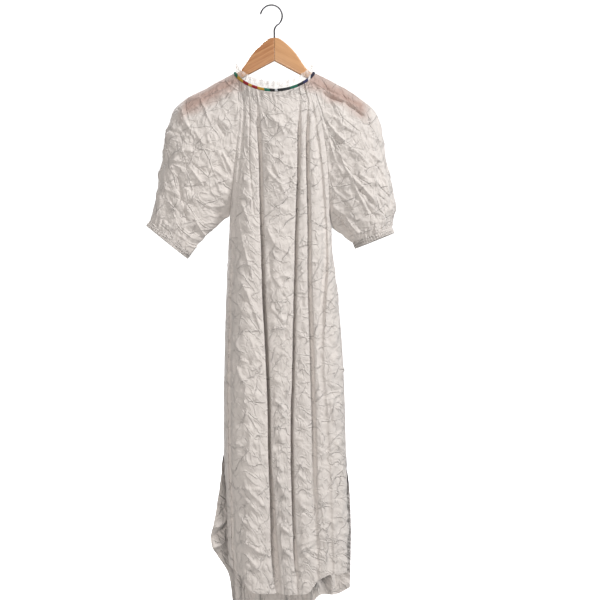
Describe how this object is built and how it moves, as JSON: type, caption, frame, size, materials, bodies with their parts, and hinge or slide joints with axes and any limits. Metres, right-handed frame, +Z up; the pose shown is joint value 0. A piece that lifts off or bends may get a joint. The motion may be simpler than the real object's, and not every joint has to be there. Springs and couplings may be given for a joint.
{
  "type": "cover-up dress on a hanger",
  "caption": "Long crinkled cotton cover-up dress with gathered round neck, raglan puff sleeves, elastic cuffs and side slits, hanging on a flat wooden hanger.",
  "frame": {"origin": "inside top of the hook, on its middle plane, where it rests on a rail", "axes": "+Z up; the dress faces -Y; +X is to the right of someone who faces the dress"},
  "size_m": [0.5484, 0.1082, 1.3328],
  "materials": {
    "white_cotton": "thin crinkled cotton, matte and slightly sheer",
    "patterned_binding": "narrow bound edge in several colours, matte",
    "hanger_wood": "pale varnished wood, satin",
    "hook_steel": "dark plated wire, polished"
  },
  "bodies": {
    "root": {"front_panel": "white_cotton", "back_panel": "white_cotton", "sleeve_left": "white_cotton", "sleeve_right": "white_cotton", "neck_binding": "patterned_binding", "neck_frill": "white_cotton", "cuff_left": "white_cotton", "cuff_right": "white_cotton", "hanger_arm_left": "hanger_wood", "hanger_arm_right": "hanger_wood", "hanger_hook": "hook_steel"}
  },
  "joints": []
}
